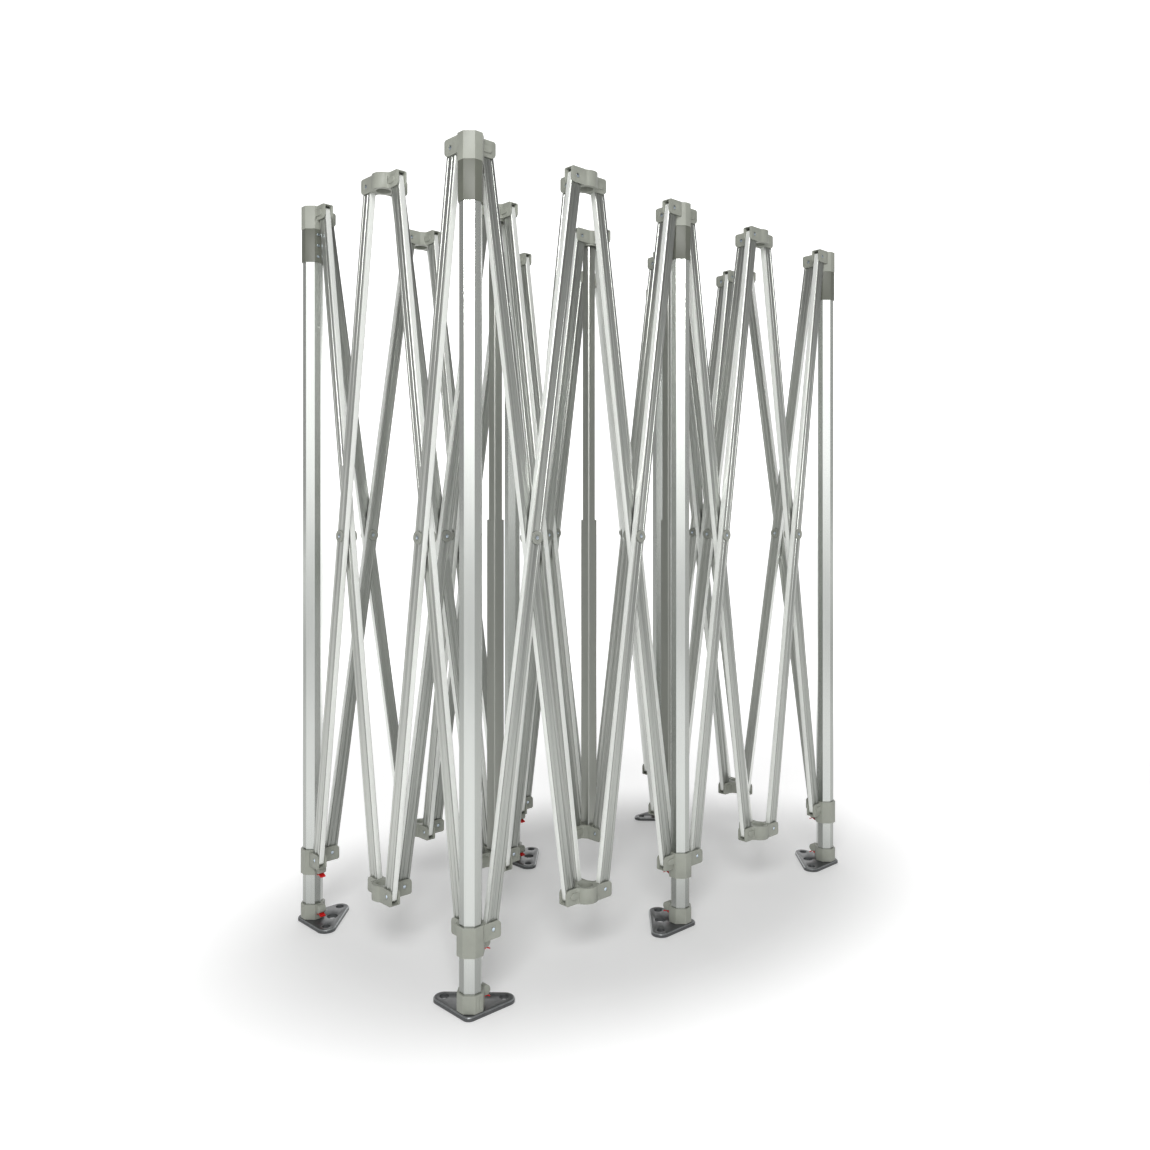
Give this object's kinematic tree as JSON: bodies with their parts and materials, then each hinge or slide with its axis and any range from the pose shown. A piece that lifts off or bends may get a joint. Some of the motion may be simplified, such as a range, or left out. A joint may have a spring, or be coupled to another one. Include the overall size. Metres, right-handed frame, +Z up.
{
  "type": "pop up canopy",
  "caption": "Folding eight sided aluminium canopy frame, half folded, with scissor trusses, sliding lower brackets, centre posts and telescoping legs on foot plates.",
  "frame": {"origin": "centre of the footprint on the ground, at the half folded rest pose", "axes": "+X along the long side, +Y along the short side towards the back row, +Z up"},
  "size_m": [1.198, 0.626, 1.571],
  "materials": {
    "bar_aluminium": "satin anodised extrusion, plastic discs at the pivots",
    "leg_aluminium": "satin anodised eight sided tube with moulded grey fittings",
    "inner_leg_aluminium": "satin anodised tube on a dark grey painted foot plate",
    "grey_plastic": "moulded warm grey nylon, fine grain"
  },
  "bodies": {
    "bar_00_01": {"bar_00_01": "bar_aluminium"},
    "bar_00_10": {"bar_00_10": "bar_aluminium"},
    "bar_01_00": {"bar_01_00": "bar_aluminium"},
    "bar_01_02": {"bar_01_02": "bar_aluminium"},
    "bar_02_01": {"bar_02_01": "bar_aluminium"},
    "bar_02_12": {"bar_02_12": "bar_aluminium"},
    "bar_10_00": {"bar_10_00": "bar_aluminium"},
    "bar_10_20": {"bar_10_20": "bar_aluminium"},
    "bar_12_02": {"bar_12_02": "bar_aluminium"},
    "bar_12_22": {"bar_12_22": "bar_aluminium"},
    "bar_20_10": {"bar_20_10": "bar_aluminium"},
    "bar_20_21": {"bar_20_21": "bar_aluminium"},
    "bar_20_30": {"bar_20_30": "bar_aluminium"},
    "bar_21_20": {"bar_21_20": "bar_aluminium"},
    "bar_21_22": {"bar_21_22": "bar_aluminium"},
    "bar_22_12": {"bar_22_12": "bar_aluminium"},
    "bar_22_21": {"bar_22_21": "bar_aluminium"},
    "bar_22_32": {"bar_22_32": "bar_aluminium"},
    "bar_30_20": {"bar_30_20": "bar_aluminium"},
    "bar_30_40": {"bar_30_40": "bar_aluminium"},
    "bar_32_22": {"bar_32_22": "bar_aluminium"},
    "bar_32_42": {"bar_32_42": "bar_aluminium"},
    "bar_40_30": {"bar_40_30": "bar_aluminium"},
    "bar_40_41": {"bar_40_41": "bar_aluminium"},
    "bar_41_40": {"bar_41_40": "bar_aluminium"},
    "bar_41_42": {"bar_41_42": "bar_aluminium"},
    "bar_42_32": {"bar_42_32": "bar_aluminium"},
    "inner_leg_00": {"inner_leg_00": "inner_leg_aluminium"},
    "inner_leg_02": {"inner_leg_02": "inner_leg_aluminium"},
    "inner_leg_20": {"inner_leg_20": "inner_leg_aluminium"},
    "inner_leg_22": {"inner_leg_22": "inner_leg_aluminium"},
    "inner_leg_40": {"inner_leg_40": "inner_leg_aluminium"},
    "inner_leg_42": {"inner_leg_42": "inner_leg_aluminium"},
    "leg_00": {"leg_00": "leg_aluminium"},
    "leg_02": {"leg_02": "leg_aluminium"},
    "leg_20": {"leg_20": "leg_aluminium"},
    "leg_22": {"leg_22": "leg_aluminium"},
    "leg_40": {"leg_40": "leg_aluminium"},
    "leg_42": {"leg_42": "leg_aluminium"},
    "low_bracket_01": {"low_bracket_01": "grey_plastic"},
    "low_bracket_10": {"low_bracket_10": "grey_plastic"},
    "low_bracket_12": {"low_bracket_12": "grey_plastic"},
    "low_bracket_30": {"low_bracket_30": "grey_plastic"},
    "low_bracket_32": {"low_bracket_32": "grey_plastic"},
    "low_bracket_41": {"low_bracket_41": "grey_plastic"},
    "post_21": {"post_21": "leg_aluminium"},
    "slider_00": {"slider_00": "grey_plastic"},
    "slider_02": {"slider_02": "grey_plastic"},
    "slider_20": {"slider_20": "grey_plastic"},
    "slider_22": {"slider_22": "grey_plastic"},
    "slider_40": {"slider_40": "grey_plastic"},
    "slider_42": {"slider_42": "grey_plastic"},
    "top_bracket_01": {"top_bracket_01": "grey_plastic"},
    "top_bracket_10": {"top_bracket_10": "grey_plastic"},
    "top_bracket_12": {"top_bracket_12": "grey_plastic"},
    "top_bracket_21": {"top_bracket_21": "grey_plastic", "inner_frame": "bar_aluminium"},
    "top_bracket_30": {"top_bracket_30": "grey_plastic"},
    "top_bracket_32": {"top_bracket_32": "grey_plastic"},
    "top_bracket_41": {"top_bracket_41": "grey_plastic"}
  },
  "joints": [
    {"name": "fold", "type": "hinge", "parent": "top_bracket_21", "child": "bar_21_20", "pos_m": [0.00775, -0.038, 1.554], "axis": [-1, 0, 0], "range_deg": [-6.4, 72.5], "deforming": ["inner_frame"]},
    {"name": "bar_20_21_middle", "type": "hinge", "parent": "bar_21_20", "child": "bar_20_21", "pos_m": [0, -0.143, 0.849], "axis": [-1, 0, 0], "range_deg": [-145, 12.8]},
    {"name": "leg_20_pivot", "type": "hinge", "parent": "bar_20_21", "child": "leg_20", "pos_m": [-0.00775, -0.248, 1.554], "axis": [-1, 0, 0], "range_deg": [-6.4, 72.5]},
    {"name": "slider_20_pivot", "type": "hinge", "parent": "bar_21_20", "child": "slider_20", "pos_m": [0.00775, -0.248, 0.144], "axis": [-1, 0, 0], "range_deg": [-72.5, 6.4]},
    {"name": "post_21_pivot", "type": "hinge", "parent": "bar_20_21", "child": "post_21", "pos_m": [-0.00775, -0.038, 0.144], "axis": [-1, 0, 0], "range_deg": [-6.4, 72.5]},
    {"name": "bar_21_22_top", "type": "hinge", "parent": "top_bracket_21", "child": "bar_21_22", "pos_m": [-0.00775, 0.038, 1.554], "axis": [1, 0, 0], "range_deg": [-6.4, 72.5]},
    {"name": "bar_22_21_middle", "type": "hinge", "parent": "bar_21_22", "child": "bar_22_21", "pos_m": [0, 0.143, 0.849], "axis": [1, 0, 0], "range_deg": [-145, 12.8]},
    {"name": "leg_22_pivot", "type": "hinge", "parent": "bar_22_21", "child": "leg_22", "pos_m": [0.00775, 0.248, 1.554], "axis": [1, 0, 0], "range_deg": [-6.4, 72.5]},
    {"name": "slider_22_pivot", "type": "hinge", "parent": "bar_21_22", "child": "slider_22", "pos_m": [-0.00775, 0.248, 0.144], "axis": [1, 0, 0], "range_deg": [-72.5, 6.4]},
    {"name": "bar_20_10_top", "type": "hinge", "parent": "leg_20", "child": "bar_20_10", "pos_m": [-0.038, -0.29375, 1.554], "axis": [0, 1, 0], "range_deg": [-6.4, 72.5]},
    {"name": "bar_10_20_middle", "type": "hinge", "parent": "bar_20_10", "child": "bar_10_20", "pos_m": [-0.143, -0.286, 0.849], "axis": [0, 1, 0], "range_deg": [-145, 12.8]},
    {"name": "top_bracket_10_pivot", "type": "hinge", "parent": "bar_10_20", "child": "top_bracket_10", "pos_m": [-0.248, -0.27825, 1.554], "axis": [0, 1, 0], "range_deg": [-6.4, 72.5]},
    {"name": "low_bracket_10_pivot", "type": "hinge", "parent": "bar_20_10", "child": "low_bracket_10", "pos_m": [-0.248, -0.29375, 0.144], "axis": [0, 1, 0], "range_deg": [-72.5, 6.4]},
    {"name": "bar_10_00_top", "type": "hinge", "parent": "top_bracket_10", "child": "bar_10_00", "pos_m": [-0.324, -0.29375, 1.554], "axis": [0, 1, 0], "range_deg": [-6.4, 72.5]},
    {"name": "bar_00_10_middle", "type": "hinge", "parent": "bar_10_00", "child": "bar_00_10", "pos_m": [-0.429, -0.286, 0.849], "axis": [0, 1, 0], "range_deg": [-145, 12.8]},
    {"name": "leg_00_pivot", "type": "hinge", "parent": "bar_00_10", "child": "leg_00", "pos_m": [-0.534, -0.27825, 1.554], "axis": [0, 1, 0], "range_deg": [-6.4, 72.5]},
    {"name": "slider_00_pivot", "type": "hinge", "parent": "bar_10_00", "child": "slider_00", "pos_m": [-0.534, -0.29375, 0.144], "axis": [0, 1, 0], "range_deg": [-72.5, 6.4]},
    {"name": "bar_00_01_top", "type": "hinge", "parent": "leg_00", "child": "bar_00_01", "pos_m": [-0.57975, -0.248, 1.554], "axis": [1, 0, 0], "range_deg": [-6.4, 72.5]},
    {"name": "bar_01_00_middle", "type": "hinge", "parent": "bar_00_01", "child": "bar_01_00", "pos_m": [-0.572, -0.143, 0.849], "axis": [1, 0, 0], "range_deg": [-145, 12.8]},
    {"name": "top_bracket_01_pivot", "type": "hinge", "parent": "bar_01_00", "child": "top_bracket_01", "pos_m": [-0.56425, -0.038, 1.554], "axis": [1, 0, 0], "range_deg": [-6.4, 72.5]},
    {"name": "low_bracket_01_pivot", "type": "hinge", "parent": "bar_00_01", "child": "low_bracket_01", "pos_m": [-0.57975, -0.038, 0.144], "axis": [1, 0, 0], "range_deg": [-72.5, 6.4]},
    {"name": "bar_20_30_top", "type": "hinge", "parent": "leg_20", "child": "bar_20_30", "pos_m": [0.038, -0.27825, 1.554], "axis": [0, -1, 0], "range_deg": [-6.4, 72.5]},
    {"name": "bar_30_20_middle", "type": "hinge", "parent": "bar_20_30", "child": "bar_30_20", "pos_m": [0.143, -0.286, 0.849], "axis": [0, -1, 0], "range_deg": [-145, 12.8]},
    {"name": "top_bracket_30_pivot", "type": "hinge", "parent": "bar_30_20", "child": "top_bracket_30", "pos_m": [0.248, -0.29375, 1.554], "axis": [0, -1, 0], "range_deg": [-6.4, 72.5]},
    {"name": "low_bracket_30_pivot", "type": "hinge", "parent": "bar_20_30", "child": "low_bracket_30", "pos_m": [0.248, -0.27825, 0.144], "axis": [0, -1, 0], "range_deg": [-72.5, 6.4]},
    {"name": "bar_30_40_top", "type": "hinge", "parent": "top_bracket_30", "child": "bar_30_40", "pos_m": [0.324, -0.27825, 1.554], "axis": [0, -1, 0], "range_deg": [-6.4, 72.5]},
    {"name": "bar_40_30_middle", "type": "hinge", "parent": "bar_30_40", "child": "bar_40_30", "pos_m": [0.429, -0.286, 0.849], "axis": [0, -1, 0], "range_deg": [-145, 12.8]},
    {"name": "leg_40_pivot", "type": "hinge", "parent": "bar_40_30", "child": "leg_40", "pos_m": [0.534, -0.29375, 1.554], "axis": [0, -1, 0], "range_deg": [-6.4, 72.5]},
    {"name": "slider_40_pivot", "type": "hinge", "parent": "bar_30_40", "child": "slider_40", "pos_m": [0.534, -0.27825, 0.144], "axis": [0, -1, 0], "range_deg": [-72.5, 6.4]},
    {"name": "bar_40_41_top", "type": "hinge", "parent": "leg_40", "child": "bar_40_41", "pos_m": [0.56425, -0.248, 1.554], "axis": [1, 0, 0], "range_deg": [-6.4, 72.5]},
    {"name": "bar_41_40_middle", "type": "hinge", "parent": "bar_40_41", "child": "bar_41_40", "pos_m": [0.572, -0.143, 0.849], "axis": [1, 0, 0], "range_deg": [-145, 12.8]},
    {"name": "top_bracket_41_pivot", "type": "hinge", "parent": "bar_41_40", "child": "top_bracket_41", "pos_m": [0.57975, -0.038, 1.554], "axis": [1, 0, 0], "range_deg": [-6.4, 72.5]},
    {"name": "low_bracket_41_pivot", "type": "hinge", "parent": "bar_40_41", "child": "low_bracket_41", "pos_m": [0.56425, -0.038, 0.144], "axis": [1, 0, 0], "range_deg": [-72.5, 6.4]},
    {"name": "bar_22_12_top", "type": "hinge", "parent": "leg_22", "child": "bar_22_12", "pos_m": [-0.038, 0.27825, 1.554], "axis": [0, 1, 0], "range_deg": [-6.4, 72.5]},
    {"name": "bar_12_22_middle", "type": "hinge", "parent": "bar_22_12", "child": "bar_12_22", "pos_m": [-0.143, 0.286, 0.849], "axis": [0, 1, 0], "range_deg": [-145, 12.8]},
    {"name": "top_bracket_12_pivot", "type": "hinge", "parent": "bar_12_22", "child": "top_bracket_12", "pos_m": [-0.248, 0.29375, 1.554], "axis": [0, 1, 0], "range_deg": [-6.4, 72.5]},
    {"name": "low_bracket_12_pivot", "type": "hinge", "parent": "bar_22_12", "child": "low_bracket_12", "pos_m": [-0.248, 0.27825, 0.144], "axis": [0, 1, 0], "range_deg": [-72.5, 6.4]},
    {"name": "bar_12_02_top", "type": "hinge", "parent": "top_bracket_12", "child": "bar_12_02", "pos_m": [-0.324, 0.27825, 1.554], "axis": [0, 1, 0], "range_deg": [-6.4, 72.5]},
    {"name": "bar_02_12_middle", "type": "hinge", "parent": "bar_12_02", "child": "bar_02_12", "pos_m": [-0.429, 0.286, 0.849], "axis": [0, 1, 0], "range_deg": [-145, 12.8]},
    {"name": "leg_02_pivot", "type": "hinge", "parent": "bar_02_12", "child": "leg_02", "pos_m": [-0.534, 0.29375, 1.554], "axis": [0, 1, 0], "range_deg": [-6.4, 72.5]},
    {"name": "slider_02_pivot", "type": "hinge", "parent": "bar_12_02", "child": "slider_02", "pos_m": [-0.534, 0.27825, 0.144], "axis": [0, 1, 0], "range_deg": [-72.5, 6.4]},
    {"name": "bar_22_32_top", "type": "hinge", "parent": "leg_22", "child": "bar_22_32", "pos_m": [0.038, 0.29375, 1.554], "axis": [0, -1, 0], "range_deg": [-6.4, 72.5]},
    {"name": "bar_32_22_middle", "type": "hinge", "parent": "bar_22_32", "child": "bar_32_22", "pos_m": [0.143, 0.286, 0.849], "axis": [0, -1, 0], "range_deg": [-145, 12.8]},
    {"name": "top_bracket_32_pivot", "type": "hinge", "parent": "bar_32_22", "child": "top_bracket_32", "pos_m": [0.248, 0.27825, 1.554], "axis": [0, -1, 0], "range_deg": [-6.4, 72.5]},
    {"name": "low_bracket_32_pivot", "type": "hinge", "parent": "bar_22_32", "child": "low_bracket_32", "pos_m": [0.248, 0.29375, 0.144], "axis": [0, -1, 0], "range_deg": [-72.5, 6.4]},
    {"name": "bar_32_42_top", "type": "hinge", "parent": "top_bracket_32", "child": "bar_32_42", "pos_m": [0.324, 0.29375, 1.554], "axis": [0, -1, 0], "range_deg": [-6.4, 72.5]},
    {"name": "bar_42_32_middle", "type": "hinge", "parent": "bar_32_42", "child": "bar_42_32", "pos_m": [0.429, 0.286, 0.849], "axis": [0, -1, 0], "range_deg": [-145, 12.8]},
    {"name": "leg_42_pivot", "type": "hinge", "parent": "bar_42_32", "child": "leg_42", "pos_m": [0.534, 0.27825, 1.554], "axis": [0, -1, 0], "range_deg": [-6.4, 72.5]},
    {"name": "slider_42_pivot", "type": "hinge", "parent": "bar_32_42", "child": "slider_42", "pos_m": [0.534, 0.29375, 0.144], "axis": [0, -1, 0], "range_deg": [-72.5, 6.4]},
    {"name": "bar_01_02_top", "type": "hinge", "parent": "top_bracket_01", "child": "bar_01_02", "pos_m": [-0.57975, 0.038, 1.554], "axis": [1, 0, 0], "range_deg": [-6.4, 72.5]},
    {"name": "bar_02_01_top", "type": "hinge", "parent": "leg_02", "child": "bar_02_01", "pos_m": [-0.56425, 0.248, 1.554], "axis": [-1, 0, 0], "range_deg": [-6.4, 72.5]},
    {"name": "bar_41_42_top", "type": "hinge", "parent": "top_bracket_41", "child": "bar_41_42", "pos_m": [0.56425, 0.038, 1.554], "axis": [1, 0, 0], "range_deg": [-6.4, 72.5]},
    {"name": "extend_leg_00", "type": "slide", "parent": "leg_00", "child": "inner_leg_00", "axis": [0, 0, -1], "range_m": [0, 0.75]},
    {"name": "extend_leg_40", "type": "slide", "parent": "leg_40", "child": "inner_leg_40", "axis": [0, 0, -1], "range_m": [0, 0.75]},
    {"name": "extend_leg_20", "type": "slide", "parent": "leg_20", "child": "inner_leg_20", "axis": [0, 0, -1], "range_m": [0, 0.75]},
    {"name": "extend_leg_42", "type": "slide", "parent": "leg_42", "child": "inner_leg_42", "axis": [0, 0, -1], "range_m": [0, 0.75]},
    {"name": "extend_leg_02", "type": "slide", "parent": "leg_02", "child": "inner_leg_02", "axis": [0, 0, -1], "range_m": [0, 0.75]},
    {"name": "extend_leg_22", "type": "slide", "parent": "leg_22", "child": "inner_leg_22", "axis": [0, 0, -1], "range_m": [0, 0.75]}
  ],
  "couplings": [
    {"joint": "bar_20_21_middle", "follows": "fold", "ratio": -2},
    {"joint": "leg_20_pivot", "follows": "fold", "ratio": 1},
    {"joint": "slider_20_pivot", "follows": "fold", "ratio": -1},
    {"joint": "post_21_pivot", "follows": "fold", "ratio": 1},
    {"joint": "bar_21_22_top", "follows": "fold", "ratio": 1},
    {"joint": "bar_22_21_middle", "follows": "fold", "ratio": -2},
    {"joint": "leg_22_pivot", "follows": "fold", "ratio": 1},
    {"joint": "slider_22_pivot", "follows": "fold", "ratio": -1},
    {"joint": "bar_20_10_top", "follows": "fold", "ratio": 1},
    {"joint": "bar_10_20_middle", "follows": "fold", "ratio": -2},
    {"joint": "top_bracket_10_pivot", "follows": "fold", "ratio": 1},
    {"joint": "low_bracket_10_pivot", "follows": "fold", "ratio": -1},
    {"joint": "bar_10_00_top", "follows": "fold", "ratio": 1},
    {"joint": "bar_00_10_middle", "follows": "fold", "ratio": -2},
    {"joint": "leg_00_pivot", "follows": "fold", "ratio": 1},
    {"joint": "slider_00_pivot", "follows": "fold", "ratio": -1},
    {"joint": "bar_00_01_top", "follows": "fold", "ratio": 1},
    {"joint": "bar_01_00_middle", "follows": "fold", "ratio": -2},
    {"joint": "top_bracket_01_pivot", "follows": "fold", "ratio": 1},
    {"joint": "low_bracket_01_pivot", "follows": "fold", "ratio": -1},
    {"joint": "bar_20_30_top", "follows": "fold", "ratio": 1},
    {"joint": "bar_30_20_middle", "follows": "fold", "ratio": -2},
    {"joint": "top_bracket_30_pivot", "follows": "fold", "ratio": 1},
    {"joint": "low_bracket_30_pivot", "follows": "fold", "ratio": -1},
    {"joint": "bar_30_40_top", "follows": "fold", "ratio": 1},
    {"joint": "bar_40_30_middle", "follows": "fold", "ratio": -2},
    {"joint": "leg_40_pivot", "follows": "fold", "ratio": 1},
    {"joint": "slider_40_pivot", "follows": "fold", "ratio": -1},
    {"joint": "bar_40_41_top", "follows": "fold", "ratio": 1},
    {"joint": "bar_41_40_middle", "follows": "fold", "ratio": -2},
    {"joint": "top_bracket_41_pivot", "follows": "fold", "ratio": 1},
    {"joint": "low_bracket_41_pivot", "follows": "fold", "ratio": -1},
    {"joint": "bar_22_12_top", "follows": "fold", "ratio": 1},
    {"joint": "bar_12_22_middle", "follows": "fold", "ratio": -2},
    {"joint": "top_bracket_12_pivot", "follows": "fold", "ratio": 1},
    {"joint": "low_bracket_12_pivot", "follows": "fold", "ratio": -1},
    {"joint": "bar_12_02_top", "follows": "fold", "ratio": 1},
    {"joint": "bar_02_12_middle", "follows": "fold", "ratio": -2},
    {"joint": "leg_02_pivot", "follows": "fold", "ratio": 1},
    {"joint": "slider_02_pivot", "follows": "fold", "ratio": -1},
    {"joint": "bar_22_32_top", "follows": "fold", "ratio": 1},
    {"joint": "bar_32_22_middle", "follows": "fold", "ratio": -2},
    {"joint": "top_bracket_32_pivot", "follows": "fold", "ratio": 1},
    {"joint": "low_bracket_32_pivot", "follows": "fold", "ratio": -1},
    {"joint": "bar_32_42_top", "follows": "fold", "ratio": 1},
    {"joint": "bar_42_32_middle", "follows": "fold", "ratio": -2},
    {"joint": "leg_42_pivot", "follows": "fold", "ratio": 1},
    {"joint": "slider_42_pivot", "follows": "fold", "ratio": -1},
    {"joint": "bar_01_02_top", "follows": "fold", "ratio": 1},
    {"joint": "bar_02_01_top", "follows": "fold", "ratio": 1},
    {"joint": "bar_41_42_top", "follows": "fold", "ratio": 1}
  ]
}
